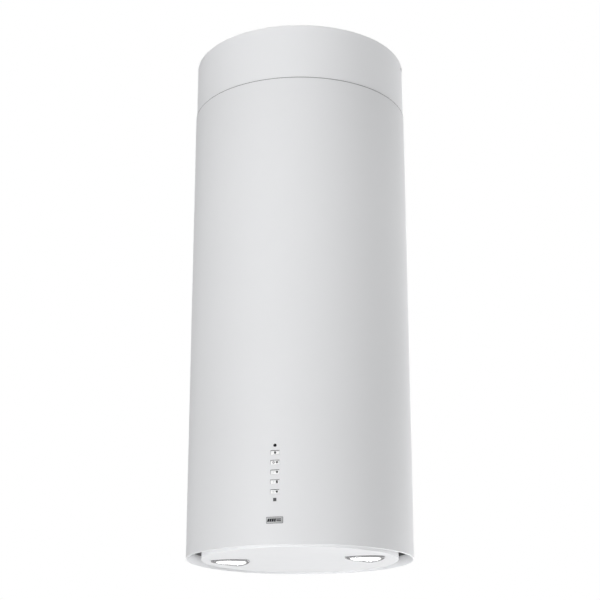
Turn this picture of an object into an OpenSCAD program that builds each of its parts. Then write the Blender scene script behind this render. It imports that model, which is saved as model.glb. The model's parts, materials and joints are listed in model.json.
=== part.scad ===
// Cylindrical island range hood: a round white casing that hangs from the ceiling on a telescopic
// frame, with a blower inside, a vertical row of push buttons and a round suction panel below.
//
// Millimetres. The origin is the centre of the ceiling plate's top face, where the hood is screwed
// to the ceiling. +Z is up, the controls face -Y and +X is to the right of a cook who reads them.
// Heights of hood parts are given above the casing's bottom rim, through the function up().

/* [Casing] */
// Outside diameter of the main casing
casing_d = 370; // [360:1:400]
// Height of the main casing
casing_h = 775; // [720:1:850]
// Height of upper chimney that shows above the casing
chimney_show = 98; // [80:1:140]
// Thickness of the casing and chimney sheet
sheet = 0.8; // [0.7:0.1:1]
// Radial gap in which the casing slides over the chimney
slide_gap = 0.5; // [0.4:0.1:0.8]
// Height of the folded return inside the bottom rim
return_h = 17.5; // [12:0.5:20]

/* [Height adjustment] */
// How far the hood can be set higher than shown
raise = 50; // [20:1:50]
// How far the hood can be set lower than shown
lower = 150; // [80:1:150]

/* [Ceiling plate] */
// Diameter of the circle of ceiling screws
screw_circle_d = 240; // [230:1:250]
// Diameter of each ceiling screw hole
screw_hole_d = 8; // [6:0.5:9]
// Diameter of the opening for the duct
duct_opening_d = 170; // [160:1:176]

/* [Duct] */
// Outside diameter of the outlet collar that the duct slides over
collar_d = 149; // [145:0.5:150]
// Height of the collar above its flange
collar_h = 60; // [50:1:70]

/* [Controls] */
// Vertical distance between buttons
button_pitch = 15.1; // [14:0.1:16]
// Width of a button cap
button_w = 13.7; // [12:0.1:14]
// Height of a button cap
button_h = 6.3; // [5.5:0.1:7]
// How far a button travels
button_travel = 1.5; // [1:0.1:1.5]
// Height of the middle button above the rim
buttons_mid = 110.8; // [105:0.1:120]
// Height of the status lens above the rim
status_z = 152.2; // [150:0.1:158]
// Height of the sensor window above the rim
sensor_z = 68.4; // [66:0.1:70]
// Height of the badge above the rim
badge_z = 37.2; // [32:0.1:40]
// Width of the badge
badge_w = 26; // [20:0.5:30]
// Height of the badge
badge_h = 10; // [8:0.5:12]

/* [Suction panel] */
// Diameter of the panel, which leaves an annular gap for the air
panel_d = 320; // [310:1:324]
// Depth of the panel's tray
panel_h = 16; // [14:0.5:16]
// Distance from the middle of the hood to the middle of a lamp
lamp_x = 111; // [104:0.5:115]
// Distance of the lamps' middle in front of the hood's centre line
lamp_front = 8.5; // [0:0.5:12]
// Width of a lamp across its corners
lamp_w = 64; // [58:0.5:66]
// Depth of a lamp as a share of its width
lamp_depth = 1.15; // [1:0.05:1.2]

/* [Hidden] */
$fn = 96;
e = 0.01;                                  // a cut runs this far past a face
casing_r = casing_d / 2;
casing_in = casing_r - sheet;
chimney_r = casing_in - slide_gap;
chimney_in = chimney_r - sheet;
joint_z = -chimney_show;                   // top edge of the casing
rim_z = -chimney_show - casing_h;          // bottom rim of the casing
function up(h) = rim_z + h;

// Ceiling plate, with two lugs that the upper chimney is screwed to
plate_t = 2;
plate_r = 170;
lug_x = chimney_in - 0.6;
lug_half = 10;
lug_drop = 20;
chimney_end = -320;
chimney_screw_z = -10;
chimney_screw_r = 2;

// Telescopic frame: upper rails on the ceiling plate, lower rails inside them
rail_half = 88;                            // outer corner of an upper rail, from the axis
rail_t = 1.5;
rail_leg = 25;
rail_gap = 0.5;
lower_half = rail_half - rail_t - rail_gap;
upper_rail_end = -330;
lower_rail_top = -80;
foot = 18;
clamp_z = -130;                            // clamping screws at the height shown
slot_r = 3.2;
slot_at = rail_half - 14;                  // slot and screw, along the leg, from the axis
brace_z = -318;
brace_w = 16;

// Hem and trim of the casing
hem_r = 0.9;
trim_h = 0.8;

// Levels of the hood's inner parts above the rim
deck_h = 46;
deck_t = 1.2;
deck_flange = 14;
chassis_h = 398;
chassis_t = 2;
chassis_top = chassis_h + chassis_t;
strut_r = 166;
strut_w = 30;
strut_d = 12;
collar_screw_r = 82;                       // circle of the screws in the collar's flange
screw_r = 1.98;                            // shank of the common screws, in holes of radius 2
screw_hole = 2;
head_r = 3.8;
head_t = 2.2;

// Blower: a scroll round the horizontal shaft, with its outlet upwards
fan_x = -35;
fan_h = 200;
fan_r = 72;
fan_half = 46;
scroll_half = 56;
scroll_wall = 2.5;
scroll_r0 = 82;
scroll_r1 = 128;
tongue_a = 60;
tongue_back = 8;                           // the outer skin of the tongue starts this much later
outlet_half = 72;
flange_x = 90;
flange_y = 72;
flange_t = 3;
inlet_r = 60;
boss_r = 6;
boss_half = 12;
blades = 32;
blade_in = 57;
blade_l = 17.5;
motor_r = 42;
shaft_r = 4;
shaft_gap = 0.05;
arm_r = inlet_r + 4;                       // circle of the motor bracket's screws
arm_angles = [90, 210, 330];
bracket_low = scroll_half + 3;

// Run capacitor, on a stud below the chassis plate
cap_x = 125;
cap_y = 60;
cap_r = 16;
cap_len = 68;
stud_r = 3.98;

// Outlet collar and back-draught flaps
collar_r = collar_d / 2;
collar_wall = 2;
collar_in = collar_r - collar_wall;
collar_flange_r = 90;
collar_flange_t = 3;
flap_h = chassis_top + 34;
flap_r = 70;
flap_t = 1.2;
flap_sleeve = 3.6;
flap_edge = 4.3;                           // straight edge of a flap, clear of the other one's sleeves

// Electrics
box_x = 60;
box_y0 = 98;
box_y1 = 148;
box_h = 80;
box_low = chassis_h - box_h;
box_wall = 2;
gland_x = 30;
gland_y = 123;
gland_bore = 5;
gland_hole = 10;                           // radius of the holes in the plates for the cable and gland

// Controls
button_gap = 0.3;
button_recess = 0.7;
button_stop = button_travel + 0.5;         // room for the travel, between the flange and the guide
status_r = 2.6;
status_gap = 0.2;
sensor_half = 2.4;
badge_t = 0.6;
guide_front = -180.3;
guide_t = 3.3;
guide_half = 15;
guide_top = 168;
board_y = -168.8;
button_z = [for (i = [2:-1:-2]) buttons_mid + i * button_pitch];

// Suction panel, its liner and its hinge
panel_r = panel_d / 2;
skin = 1;
edge_r = 1;
liner_low = panel_h - 1;
hinge_y = 140;
hinge_h = 24;
hinge_x = 70;
lug_r = 6;
lug_w = 7.5;
ear_r = 7;
ear_in = 8;
ear_out = 10;
pin_r = 2;
pin_gap = 0.05;
magnet_x = 60;
magnet_y = -134;

// Lamps: a triangle with bowed sides and round corners, one corner to the back
bezel_shape = [lamp_w, 9, 90];             // width, radius of a corner, radius of a side
lens_shape = [lamp_w - 14, 10, 50];        // rounder, so the bezel is widest at its corners
bezel_w = 4;                               // width of the bezel along a side
bezel_drop = 2;
cut_in = 2.5;                              // the panel's cut-out is this much inside the bezel

// Grease filter in the deck
filter_x = 119.5;
filter_y = 105.5;
filter_gap = 0.5;
filter_low = 40;
filter_t = 10;
frame_w = 9;
tab_x = 70;
latch_strip = 34;
latch_half = 26;
latch_grip = 18;
latch_travel = 5;

white = [0.93, 0.93, 0.94];
steel = [0.72, 0.73, 0.75];
dark = [0.22, 0.23, 0.24];
plastic = [0.16, 0.16, 0.17];

corners = [[-1, -1], [1, -1], [-1, 1], [1, 1]];

// ---- Shared shapes ----

module ring(r_out, r_in, low, high)
    translate([0, 0, low]) linear_extrude(high - low) difference() {
        circle(r_out);
        circle(r_in);
    }

// A box from its lowest to its highest corner
module block(a, b) translate(a) cube(b - a);

// A cylinder along Y, from y0 to y1
module bar_y(x, z, r, y0, y1) translate([x, y1, z]) rotate([90, 0, 0]) cylinder(r = r, h = y1 - y0);

// A cylinder along X, from x0 to x1
module bar_x(y, z, r, x0, x1) translate([x0, y, z]) rotate([0, 90, 0]) cylinder(r = r, h = x1 - x0);

// A pan-head screw with its head above z = 0 and its shank below
module screw(r, len, head_r, head_t) difference() {
    union() {
        translate([0, 0, -len]) cylinder(r = r, h = len + e);
        cylinder(r = head_r, h = head_t);
    }
    for (a = [0, 90]) rotate(a)
        translate([-head_r * 0.55, -0.45, head_t * 0.4]) cube([head_r * 1.1, 0.9, head_t]);
}

// An angle rail in the corner given by side, with its outer faces half away from the axis
module rail(side, half, z0, z1)
    translate([side[0] * half, side[1] * half, z0]) scale_sides(side) linear_extrude(z1 - z0)
        polygon([[0, 0], [rail_leg, 0], [rail_leg, rail_t], [rail_t, rail_t],
                 [rail_t, rail_leg], [0, rail_leg]]);

// Turns a shape drawn towards +X +Y so that it points inwards from a corner
module scale_sides(side)
    mirror([side[0] > 0 ? 1 : 0, 0, 0]) mirror([0, side[1] > 0 ? 1 : 0, 0]) children();

// A slot along Z through a sheet that faces X or Y
module slot_z(r, z0, z1, len) for (z = [z0 + r, z1 - r]) translate([0, 0, z])
    rotate([0, 90, 0]) cylinder(r = r, h = len);

// ---- Ceiling frame ----

module ceiling_plate() color(steel) difference() {
    union() {
        translate([0, 0, -plate_t]) cylinder(r = plate_r, h = plate_t);
        for (s = [0, 1]) mirror([s, 0, 0]) {
            block([plate_r - lug_half, -lug_half, -plate_t], [lug_x, lug_half, 0]);
            block([lug_x - plate_t, -lug_half, -lug_drop], [lug_x, lug_half, 0]);
        }
    }
    translate([0, 0, -plate_t - 1]) cylinder(d = duct_opening_d, h = plate_t + 2);
    for (a = [0:90:270]) rotate(a)
        translate([screw_circle_d / 2, 0, -plate_t - 1]) cylinder(d = screw_hole_d, h = plate_t + 2);
    translate([gland_x, gland_y, -plate_t - 1]) cylinder(r = gland_hole, h = plate_t + 2);
    bar_x(0, chimney_screw_z, chimney_screw_r, -casing_r, casing_r);
}

module upper_rail(side) color(steel) difference() {
    rail(side, rail_half, upper_rail_end, -plate_t);
    for (leg = [0, 1]) clamp_slot(side, leg);
}

// The long slot that a clamping screw slides in, through one leg of an upper rail
module clamp_slot(side, leg) {
    along = leg == 0 ? [side[0] * rail_half, side[1] * slot_at] : [side[0] * slot_at, side[1] * rail_half];
    z_low = clamp_z - lower - slot_r - 1;
    z_high = clamp_z + raise + slot_r + 1;
    size = leg == 0 ? [8, 2 * slot_r, 0] : [2 * slot_r, 8, 0];
    translate([along[0], along[1], 0]) {
        translate([-size[0] / 2, -size[1] / 2, z_low + slot_r])
            cube([size[0], size[1], z_high - z_low - 2 * slot_r]);
        for (z = [z_low + slot_r, z_high - slot_r]) translate([0, 0, z])
            rotate(leg == 0 ? [0, 90, 0] : [90, 0, 0]) cylinder(r = slot_r, h = 8, center = true);
    }
}

module upper_brace() color(steel) difference() {
    translate([0, 0, brace_z]) linear_extrude(plate_t) difference() {
        square(2 * (rail_half + brace_w), center = true);
        square(2 * rail_half, center = true);
    }
    hole_at = rail_half + brace_w / 2;
    for (c = corners) translate([c[0] * hole_at, c[1] * hole_at, brace_z - 1])
        cylinder(r = screw_hole, h = plate_t + 2);
}

module upper_chimney() color(white) difference() {
    ring(chimney_r, chimney_in, chimney_end, 0);
    bar_x(0, chimney_screw_z, chimney_screw_r + 0.2, -casing_r, casing_r);
}

module chimney_screws() color(steel) for (s = [0, 1]) mirror([s, 0, 0])
    translate([chimney_r, 0, chimney_screw_z]) rotate([0, 90, 0]) screw(chimney_screw_r - 0.02, 8, 3.5, 1.2);

// ---- Casing ----

module main_casing() color(white) difference() {
    rotate_extrude() union() {
        translate([casing_in, up(hem_r)]) square([sheet, casing_h - hem_r]);
        translate([casing_in - sheet, up(hem_r)]) square([sheet + e, return_h - hem_r]);
        translate([casing_r - hem_r, up(hem_r)]) circle(r = hem_r, $fn = 32);
    }
    for (z = button_z) block(
        [-button_w / 2 - button_gap, -casing_r - 1, up(z - button_h / 2 - button_gap)],
        [button_w / 2 + button_gap, -casing_r + 4, up(z + button_h / 2 + button_gap)]);
    bar_y(0, up(status_z), status_r + status_gap, -casing_r - 1, -casing_r + 4);
    block([-sensor_half - status_gap, -casing_r - 1, up(sensor_z - sensor_half - status_gap)],
          [sensor_half + status_gap, -casing_r + 4, up(sensor_z + sensor_half + status_gap)]);
}

module edge_trim() color(dark) ring(casing_r, casing_in, joint_z, joint_z + trim_h);

module badge_plate() color(steel) intersection() {
    ring(casing_r + badge_t, casing_r, up(badge_z - badge_h / 2), up(badge_z + badge_h / 2));
    block([-badge_w / 2, -casing_r - 1, up(0)], [badge_w / 2, 0, up(badge_z + badge_h)]);
}

// ---- Lower frame and chassis ----

module lower_rail(side) color(steel) difference() {
    union() {
        rail(side, lower_half, up(chassis_top), lower_rail_top);
        translate([side[0] * lower_half, side[1] * lower_half, up(chassis_top)]) scale_sides(side)
            block([0, -foot, 0], [rail_leg, e, plate_t]);
    }
    foot_hole(side) translate([0, 0, -1]) cylinder(r = 2.1, h = 10);
    for (leg = [0, 1]) clamp_place(side, leg) translate([0, 0, -8]) cylinder(r = 2.5, h = 16);
}

// The middle of a lower rail's foot, on the chassis plate
module foot_hole(side) translate([side[0] * (lower_half - rail_leg / 2),
                                  side[1] * (lower_half + foot / 2), up(chassis_top)]) children();

// The outer face of an upper rail at a clamping screw, with +Z pointing outwards
module clamp_place(side, leg)
    translate(leg == 0 ? [side[0] * rail_half, side[1] * slot_at, clamp_z]
                       : [side[0] * slot_at, side[1] * rail_half, clamp_z])
        rotate(leg == 0 ? [0, side[0] * 90, 0] : [-side[1] * 90, 0, 0]) children();

module clamp_screws() color(steel) for (c = corners, leg = [0, 1]) clamp_place(c, leg)
    translate([0, 0, 0.3]) screw(2.48, 7, 5, 3);

module chassis_plate() color(steel) difference() {
    translate([0, 0, up(chassis_h)]) cylinder(r = casing_in, h = chassis_t);
    translate([0, 0, up(chassis_h) - 1]) cylinder(r = collar_in + 1.5, h = chassis_t + 2);
    translate([gland_x, gland_y, up(chassis_h) - 1]) cylinder(r = gland_hole, h = chassis_t + 2);
    translate([cap_x, cap_y, up(chassis_h) - 1]) cylinder(r = stud_r + 0.02, h = chassis_t + 2);
    for (c = corners) foot_hole(c) translate([0, 0, -5]) cylinder(r = screw_hole, h = 10);
    for (a = [45:90:315]) rotate(a) for (r = [collar_screw_r, strut_r])
        translate([r, 0, up(chassis_h) - 1]) cylinder(r = screw_hole, h = chassis_t + 2);
}

// Four channels that carry the deck below the chassis plate
module chassis_struts() color(steel) for (a = [45:90:315]) rotate(a) difference() {
    block([strut_r - strut_d / 2, -strut_w / 2, up(deck_h + deck_t)],
          [strut_r + strut_d / 2, strut_w / 2, up(chassis_h)]);
    block([strut_r - strut_d / 2 - 1, -strut_w / 2 + rail_t, up(deck_h + deck_t + rail_t)],
          [strut_r + strut_d / 2 - rail_t, strut_w / 2 - rail_t, up(chassis_h - rail_t)]);
    for (z = [up(deck_h), up(chassis_h - 5)]) translate([strut_r, 0, z]) cylinder(r = screw_hole, h = 10);
}

// The same screw fixes the rail feet, the struts at both ends and the collar's flange
module chassis_screws() color(steel) {
    for (c = corners) foot_hole(c) translate([0, 0, plate_t]) screw(screw_r, 3.9, head_r, head_t);
    for (a = [45:90:315]) rotate(a) {
        translate([collar_screw_r, 0, up(chassis_top + collar_flange_t)]) screw(screw_r, 9, head_r, head_t);
        translate([strut_r, 0, up(chassis_top)]) screw(screw_r, 4, head_r, head_t);
        translate([strut_r, 0, up(deck_h)]) mirror([0, 0, 1]) screw(screw_r, 4, head_r, head_t);
    }
}

module filter_deck() color(dark) difference() {
    union() {
        translate([0, 0, up(deck_h)]) cylinder(r = casing_in, h = deck_t);
        ring(casing_in, casing_in - deck_t, up(deck_h), up(deck_h + deck_flange));
    }
    block([-filter_x - filter_gap, -filter_y - filter_gap, up(deck_h - 1)],
          [filter_x + filter_gap, filter_y + filter_gap, up(deck_h + 3)]);
    for (a = [45:90:315]) rotate(a)
        translate([strut_r, 0, up(deck_h - 1)]) cylinder(r = screw_hole, h = 10);
}

// ---- Blower ----

function scroll_r(a) = scroll_r0 + (scroll_r1 - scroll_r0) * (a - tongue_a) / (360 - tongue_a);

// The scroll's outline in X and Z, w outside the air's own outline
function scroll(w) = concat(
    [for (a = [tongue_a + (w > 0 ? tongue_back : 0):6:360])
        [fan_x + (scroll_r(a) + w) * cos(a), fan_h + (scroll_r(a) + w) * sin(a)]],
    [[fan_x + scroll_r1 + w, fan_h + 60], [outlet_half + w, chassis_h], [-outlet_half - w, chassis_h]]);

module scroll_solid(w, y0, y1) translate([0, y1, rim_z]) rotate([90, 0, 0])
    linear_extrude(y1 - y0) polygon(scroll(w));

// One half of the housing, on the side of -Y when s is -1
module blower_half(s) color(plastic) difference() {
    union() {
        scroll_solid(scroll_wall, min(0, s * scroll_half), max(0, s * scroll_half));
        block([-flange_x, min(0, s * flange_y), up(chassis_h - flange_t)],
              [flange_x, max(0, s * flange_y), up(chassis_h)]);
        bar_y(fan_x, up(fan_h), inlet_r + 8, min(s * scroll_half, s * (scroll_half + 3)),
              max(s * scroll_half, s * (scroll_half + 3)));
        for (p = housing_bosses)
            bar_y(p[0], up(p[1]), boss_r, min(0, s * boss_half), max(0, s * boss_half));
    }
    intersection() {
        scroll_solid(0, -scroll_half + scroll_wall, scroll_half - scroll_wall);
        block([-casing_r, min(-s, s * casing_r), up(0)],
              [casing_r, max(-s, s * casing_r), up(chassis_h + 1)]);
    }
    block([-outlet_half, -scroll_half + scroll_wall, up(chassis_h - 6)],
          [outlet_half, scroll_half - scroll_wall, up(chassis_h + 1)]);
    bar_y(fan_x, up(fan_h), inlet_r, min(0, s * 80), max(0, s * 80));
    for (p = housing_bosses) bar_y(p[0], up(p[1]), screw_hole, -20, 20);
    for (a = arm_angles) motor_screw_at(a) bar_y(0, 0, screw_hole, -80, 80);
    for (a = [45:90:315]) rotate(a) translate([collar_screw_r, 0, up(chassis_h - 6)])
        cylinder(r = screw_hole, h = 10);
}

// Screw bosses outside the scroll, just past its outer skin
housing_bosses = [for (a = [120, 190, 260, 330]) let(r = scroll_r(a) + scroll_wall + boss_r - 1)
    [fan_x + r * cos(a), fan_h + r * sin(a)]];

module housing_screws() color(steel) for (p = housing_bosses)
    translate([p[0], -boss_half, up(p[1])]) rotate([90, 0, 0])
        screw(screw_r, 2 * boss_half - 2, head_r, head_t);

module motor_screw_at(a) translate([fan_x + arm_r * cos(a), 0, up(fan_h + arm_r * sin(a))]) children();

module motor() color(steel) difference() {
    union() {
        bar_y(fan_x, up(fan_h), motor_r, -58, -4);
        bar_y(fan_x, up(fan_h), 30, -64, -58 + e);
        bar_y(fan_x, up(fan_h), 14, -4 - e, 0);
    }
    bar_y(fan_x, up(fan_h), shaft_r + shaft_gap, -50, 1);
}

// A band round the motor with three arms that are screwed to the housing's inlet ring
module motor_bracket() color(steel) translate([fan_x, -bracket_low, up(fan_h)]) rotate([90, 0, 0]) {
    linear_extrude(3) difference() {
        union() {
            circle(motor_r + 6);
            for (a = arm_angles) rotate(a) translate([0, -6]) square([inlet_r + 10, 12]);
        }
        circle(motor_r);
        for (a = arm_angles) rotate(a) translate([arm_r, 0]) circle(screw_hole);
    }
    translate([0, 0, -10]) linear_extrude(10) difference() {
        circle(motor_r + 6);
        circle(motor_r);
    }
}

module impeller() color(dark) difference() {
    union() {
        bar_y(fan_x, up(fan_h), fan_r - 1, 8, 10);
        bar_y(fan_x, up(fan_h), 12, 4, 22);
        translate([fan_x, fan_half, up(fan_h)]) rotate([90, 0, 0]) {
            for (y = [0, 2 * fan_half - 3]) translate([0, 0, y]) linear_extrude(3) difference() {
                circle(fan_r);
                circle(fan_r - 5);
            }
            linear_extrude(2 * fan_half) for (i = [0:blades - 1]) rotate(i * 360 / blades)
                translate([blade_in, 0]) rotate(40) square([blade_l, 1.1]);
        }
    }
    bar_y(fan_x, up(fan_h), shaft_r + 0.02, 0, 40);
}

module motor_shaft() color([0.8, 0.8, 0.82]) bar_y(fan_x, up(fan_h), shaft_r, -48, 26);

module run_capacitor() color(white) union() {
    translate([cap_x, cap_y, up(chassis_h - cap_len)]) cylinder(r = cap_r, h = cap_len);
    translate([cap_x, cap_y, up(chassis_h - 1)]) cylinder(r = stud_r, h = 12);
    for (x = [-6, 6]) translate([cap_x + x - 1.5, cap_y - 0.4, up(chassis_h - cap_len - 8)])
        cube([3, 0.8, 9]);
}

// ---- Outlet ----

module outlet_collar() color(plastic) difference() {
    union() {
        ring(collar_r, collar_in, up(chassis_top), up(chassis_top + collar_flange_t + collar_h));
        ring(collar_flange_r, collar_in, up(chassis_top), up(chassis_top + collar_flange_t));
        ring(collar_in + e, flap_r - 4, up(flap_h - 4), up(flap_h - 2));
        for (s = [0, 1]) mirror([s, 0, 0]) intersection() {
            block([66, -5, up(flap_h - 4)], [80, 5, up(flap_h + 5)]);
            translate([0, 0, up(flap_h - 10)]) cylinder(r = collar_in + 0.5, h = 20);
        }
    }
    bar_x(0, up(flap_h), pin_r, -71, 71);
    for (a = [45:90:315]) rotate(a) translate([collar_screw_r, 0, up(chassis_top - 1)])
        cylinder(r = screw_hole, h = 6);
}

module flap_pin() color(steel) bar_x(0, up(flap_h), pin_r, -70.9, 70.9);

// A half disc with two sleeves on the pin. s is -1 for the front flap
module flap(s, sleeves) color(dark) difference() {
    union() {
        intersection() {
            translate([0, 0, up(flap_h - flap_t / 2)]) cylinder(r = flap_r, h = flap_t);
            block([-64, min(s * flap_edge, s * 80), up(flap_h - 5)],
                  [64, max(s * flap_edge, s * 80), up(flap_h + 5)]);
        }
        for (p = sleeves) {
            bar_x(0, up(flap_h), flap_sleeve, p[0], p[1]);
            block([p[0], min(0, s * (flap_edge + 1)), up(flap_h - flap_t / 2)],
                  [p[1], max(0, s * (flap_edge + 1)), up(flap_h + flap_t / 2)]);
        }
    }
    bar_x(0, up(flap_h), pin_r + pin_gap, -80, 80);
}

// ---- Electrics ----

module control_box() color(plastic) difference() {
    block([-box_x, box_y0, up(box_low)], [box_x, box_y1, up(chassis_h)]);
    block([-box_x + box_wall, box_y0 + box_wall, up(box_low + box_wall)],
          [box_x - box_wall, box_y1 + 1, up(chassis_h - box_wall)]);
    translate([gland_x, gland_y, up(chassis_h - 5)]) cylinder(r = 8, h = 10);
}

module control_box_lid() color(plastic) union() {
    block([-box_x, box_y1, up(box_low)], [box_x, box_y1 + box_wall, up(chassis_h)]);
    for (z = [20:10:60]) block([-box_x / 2, box_y1 + box_wall - e, up(box_low + z)],
                               [box_x / 2, box_y1 + box_wall + 1, up(box_low + z + 3)]);
}

module terminal_block() color([0.9, 0.9, 0.86]) difference() {
    block([-24, box_y0 + box_wall, up(box_low + 30)], [24, box_y0 + 20, up(box_low + 50)]);
    for (x = [-16, 0, 16]) {
        bar_y(x, up(box_low + 40), 3.5, box_y0 + 10, box_y0 + 30);
        translate([x, box_y0 + 14, up(box_low + 20)]) cylinder(r = 2.5, h = 40);
    }
}

module cable_gland() color(plastic) difference() {
    union() {
        translate([gland_x, gland_y, up(chassis_h - 12)]) cylinder(r = 7.9, h = 28);
        translate([gland_x, gland_y, up(chassis_top)]) cylinder(r = 14, h = 5, $fn = 6);
        translate([gland_x, gland_y, up(chassis_top + 4)]) cylinder(r = 11, h = 14);
        translate([gland_x, gland_y, up(chassis_h - 8)]) cylinder(r = 12, h = 5.9, $fn = 6);
    }
    translate([gland_x, gland_y, up(chassis_h - 20)]) cylinder(r = gland_bore, h = 60);
}

module control_board() color([0.1, 0.35, 0.2]) union() {
    block([-18, board_y, up(56)], [18, board_y + 1.6, up(164)]);
    for (z = button_z) {
        block([-3, board_y - 1.4, up(z - 3)], [3, board_y + e, up(z + 3)]);
        bar_y(0, up(z), 1.7, board_y - 2, board_y);
    }
    block([-12, board_y + 1.6 - e, up(90)], [12, board_y + 4, up(116)]);
    block([-14, board_y + 1.6 - e, up(134)], [14, board_y + 10, up(144)]);
}

module button_guide() color(plastic) difference() {
    block([-guide_half - 4.5, guide_front, up(deck_h + deck_t)], [guide_half + 4.5, board_y, up(guide_top)]);
    block([-guide_half - 3, guide_front + guide_t, up(deck_h + deck_t + 3)],
          [guide_half + 3, board_y + 1, up(guide_top - 2)]);
    for (z = button_z) block([-5.3, guide_front - 1, up(z - 2.3)], [5.3, guide_front + 5, up(z + 2.3)]);
}

module status_lens() color([0.08, 0.08, 0.1]) union() {
    bar_y(0, up(status_z), status_r, -casing_r - 0.2, guide_front);
    bar_y(0, up(status_z), status_r + 0.9, guide_front - 1, guide_front);
}

module sensor_window() color([0.2, 0.2, 0.22]) intersection() {
    block([-sensor_half, -casing_r, up(sensor_z - sensor_half)],
          [sensor_half, guide_front, up(sensor_z + sensor_half)]);
    translate([0, 0, up(0)]) cylinder(r = casing_r - 0.1, h = guide_top, $fn = 720);
}

// A button: a cap that follows the casing's curve, a stop flange behind it and a stem
module button(i) color(white) union() {
    intersection() {
        block([-button_w / 2, -casing_r, up(button_z[i] - button_h / 2)],
              [button_w / 2, guide_front - button_stop - 0.1, up(button_z[i] + button_h / 2)]);
        translate([0, 0, up(0)]) cylinder(r = casing_r - button_recess, h = guide_top, $fn = 720);
    }
    block([-button_w / 2 - 1, -183.5, up(button_z[i] - button_h / 2 - 0.9)],
          [button_w / 2 + 1, guide_front - button_stop, up(button_z[i] + button_h / 2 + 0.9)]);
    block([-5, guide_front - button_stop - e, up(button_z[i] - 2)], [5, -172.5, up(button_z[i] + 2)]);
}

// ---- Suction panel ----

// How far a shape's corner centres and side centres lie from its middle, and half the turn of a side
function half_side(shape) = shape[0] / 2 - shape[1];
function corner_reach(shape) = half_side(shape) / cos(30);
function side_reach(shape) = corner_reach(shape) / 2 - sqrt((shape[2] - shape[1]) ^ 2 - half_side(shape) ^ 2);
function side_turn(shape) = asin(half_side(shape) / (shape[2] - shape[1]));

// A point on a lamp shape's outline where its normal is at t. grow moves the outline outwards
function lamp_point(shape, t, grow) = let(side = 120 * round((t - 30) / 120) + 30, off = t - side,
        on_side = abs(off) <= side_turn(shape), mid = on_side ? side : side + sign(off) * 60,
        from = on_side ? side_reach(shape) : corner_reach(shape), r = shape[on_side ? 2 : 1] + grow)
    [from * cos(mid) + r * cos(t), (from * sin(mid) + r * sin(t)) * lamp_depth];

module lamp_solid(s, shape, grow, low, high) translate([s * lamp_x, -lamp_front, up(low)])
    linear_extrude(high - low) polygon([for (t = [5:10:355]) lamp_point(shape, t, grow)]);

module suction_panel() color(white) difference() {
    rotate_extrude() difference() {
        union() {
            translate([0, up(0)]) square([panel_r - edge_r, panel_h]);
            translate([0, up(edge_r)]) square([panel_r, panel_h - edge_r]);
            translate([panel_r - edge_r, up(edge_r)]) circle(r = edge_r, $fn = 32);
        }
        translate([-1, up(skin)]) square([panel_r - edge_r + 1, panel_h]);
        translate([-1, up(edge_r)]) square([panel_r - skin + 1, panel_h]);
    }
    for (s = [-1, 1]) lamp_solid(s, bezel_shape, -cut_in, -1, 3);
}

module panel_liner() color(steel) translate([0, 0, up(liner_low)]) cylinder(r = panel_r - skin, h = 1);

module lamp_housing(s) color(plastic) difference() {
    lamp_solid(s, bezel_shape, 2, skin, liner_low);
    lamp_solid(s, bezel_shape, -bezel_w, skin - 1, liner_low - 2);
}

module lamp_bezel(s) color(steel) difference() {
    union() {
        lamp_solid(s, bezel_shape, 0, -bezel_drop, 0);
        lamp_solid(s, bezel_shape, -cut_in - 0.1, -e, skin);
    }
    lamp_solid(s, lens_shape, 0, -bezel_drop - 1, skin + 1);
}

module lamp_lens(s) color([0.97, 0.97, 0.95]) lamp_solid(s, lens_shape, 0, -bezel_drop + 0.8, 0.8);

module panel_hinge_lugs() color(steel) for (s = [-1, 1]) difference() {
    union() {
        bar_x(hinge_y, up(hinge_h), lug_r, s * hinge_x - lug_w, s * hinge_x + lug_w);
        block([s * hinge_x - lug_w, hinge_y - lug_r, up(panel_h)],
              [s * hinge_x + lug_w, hinge_y + lug_r, up(hinge_h)]);
    }
    bar_x(hinge_y, up(hinge_h), pin_r + pin_gap, s * hinge_x - 20, s * hinge_x + 20);
}

module hinge_brackets() color(steel) for (s = [-1, 1]) difference() {
    union() {
        block([s * hinge_x - ear_out, hinge_y - ear_r, up(deck_h - 1.5)],
              [s * hinge_x + ear_out, hinge_y + ear_r, up(deck_h)]);
        for (x = [s * hinge_x - ear_out, s * hinge_x + ear_in]) {
            bar_x(hinge_y, up(hinge_h), ear_r, x, x + ear_out - ear_in);
            block([x, hinge_y - ear_r, up(hinge_h)], [x + ear_out - ear_in, hinge_y + ear_r, up(deck_h)]);
        }
    }
    bar_x(hinge_y, up(hinge_h), pin_r, s * hinge_x - 20, s * hinge_x + 20);
}

module hinge_pins() color(steel) for (s = [-1, 1])
    bar_x(hinge_y, up(hinge_h), pin_r, s * hinge_x - ear_out - 1, s * hinge_x + ear_out + 1);

module catch_magnets() color(dark) for (s = [-1, 1]) translate([s * magnet_x, magnet_y, 0]) union() {
    translate([0, 0, up(panel_h + 6)]) cylinder(r = 6, h = deck_h - panel_h - 6);
    translate([0, 0, up(panel_h + 0.4)]) cylinder(r = 8.5, h = 6);
}

// ---- Grease filter ----

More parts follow.
